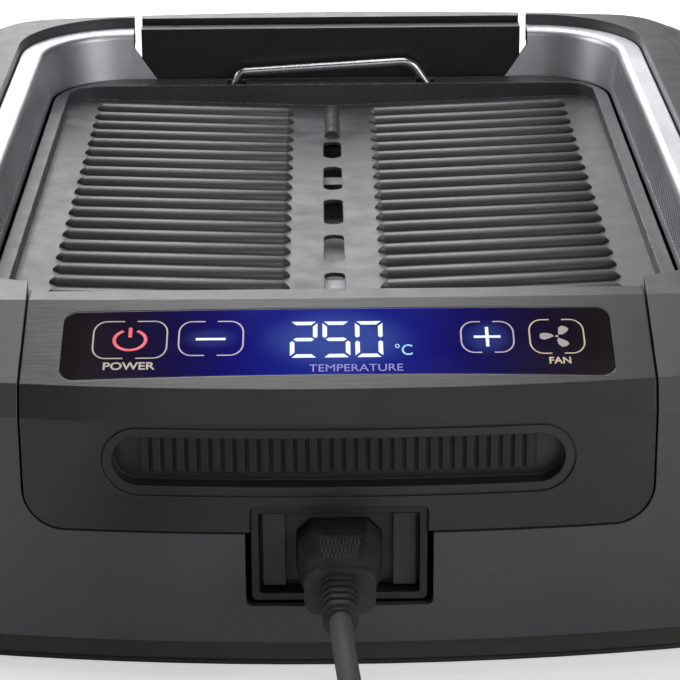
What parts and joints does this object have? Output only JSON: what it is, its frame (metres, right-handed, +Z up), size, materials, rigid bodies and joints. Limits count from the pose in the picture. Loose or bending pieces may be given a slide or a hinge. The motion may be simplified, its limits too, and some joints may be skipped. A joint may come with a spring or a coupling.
{
  "type": "indoor electric grill",
  "caption": "Indoor electric grill: ribbed lift-off plate, slotted side rims, drip tray, plug-in heater with a touch control unit, fan and mains lead.",
  "frame": {"origin": "on the surface that the grill stands on, under the middle of its body", "axes": "+Z up, +X across the grill to the right of someone facing the controls, -Y towards the control end"},
  "size_m": [0.35, 0.7414, 0.118],
  "materials": {
    "shell_plastic": "satin charcoal moulding",
    "base_plastic": "fine matt moulding",
    "rim_metal": "satin",
    "tub_plastic": "matt black",
    "bridge_plastic": "semi-gloss black",
    "foot_rubber": "matt",
    "screw_steel": "zinc plated",
    "motor_steel": "zinc plated",
    "fan_plastic": "matt",
    "tray_steel": "light grey enamel",
    "plate_coating": "satin non-stick coating on cast aluminium",
    "wire_chrome": "polished",
    "fascia_plastic": "satin black",
    "lens_plastic": "gloss black printed window",
    "lcd_plastic": "blue backlit",
    "board_laminate": "green solder mask",
    "spring_steel": "bright",
    "relay_plastic": "matt",
    "case_plastic": "matt black",
    "inlet_plastic": "matt",
    "pin_brass": "nickel plated",
    "heater_steel": "heat-tinted",
    "bracket_steel": "bright",
    "probe_aluminium": "bright",
    "lead_plastic": "matt moulding",
    "lead_sheath": "matt sheath",
    "tie_plastic": "matt"
  },
  "bodies": {
    "base": {"base_shell": "shell_plastic", "bottom_cover": "base_plastic", "side_rim_left": "rim_metal", "side_rim_right": "rim_metal", "inner_tub": "tub_plastic", "rear_bridge": "bridge_plastic", "feet": "foot_rubber", "cover_screws": "screw_steel", "fan_motor": "motor_steel", "fan_guard": "tub_plastic"},
    "fan": {"fan_impeller": "fan_plastic"},
    "tray": {"drip_tray": "tray_steel"},
    "control_unit": {"front_fascia": "fascia_plastic", "recess_grille": "fascia_plastic", "display_lens": "lens_plastic", "lcd_module": "lcd_plastic", "control_board": "board_laminate", "touch_springs": "spring_steel", "power_relay": "relay_plastic", "control_housing": "case_plastic", "inlet_socket": "inlet_plastic", "inlet_pins": "pin_brass", "heater_element": "heater_steel", "heater_brackets": "bracket_steel", "heater_terminals": "screw_steel", "probe_guide": "bracket_steel", "probe_spring": "spring_steel", "control_screws": "screw_steel"},
    "probe": {"probe_cap": "probe_aluminium"},
    "plate": {"grill_plate": "plate_coating"},
    "handle": {"plate_handle": "wire_chrome"},
    "lead": {"cord_connector": "lead_plastic", "connector_relief": "lead_plastic", "cord_run": "lead_sheath", "cord_tail": "lead_sheath", "cord_coil": "lead_sheath", "cord_tie": "tie_plastic", "mains_plug": "lead_plastic", "plug_pins": "pin_brass"}
  },
  "joints": [
    {"name": "fan_spin", "type": "hinge", "parent": "base", "child": "fan", "pos_m": [0, 0, 0.02], "axis": [0, 0, 1], "continuous": true},
    {"name": "tray_lift", "type": "slide", "parent": "base", "child": "tray", "axis": [0, 0, 1], "range_m": [0, 0.15]},
    {"name": "control_unit_lift", "type": "slide", "parent": "tray", "child": "control_unit", "axis": [0, 0, 1], "range_m": [0, 0.15]},
    {"name": "probe_press", "type": "slide", "parent": "control_unit", "child": "probe", "axis": [0, 0, 1], "range_m": [-0.0015, 0], "stiffness_N_per_m": 200, "springref_m": 0.003, "deforming": ["probe_spring"]},
    {"name": "plate_lift", "type": "slide", "parent": "control_unit", "child": "plate", "axis": [0, 0, 1], "range_m": [0, 0.15]},
    {"name": "handle_swing", "type": "hinge", "parent": "plate", "child": "handle", "pos_m": [0, 0.165, 0.0875], "axis": [1, 0, 0], "range_deg": [-6, 25]},
    {"name": "connector_pull", "type": "slide", "parent": "control_unit", "child": "lead", "axis": [0, -1, 0], "range_m": [0, 0.025]}
  ]
}
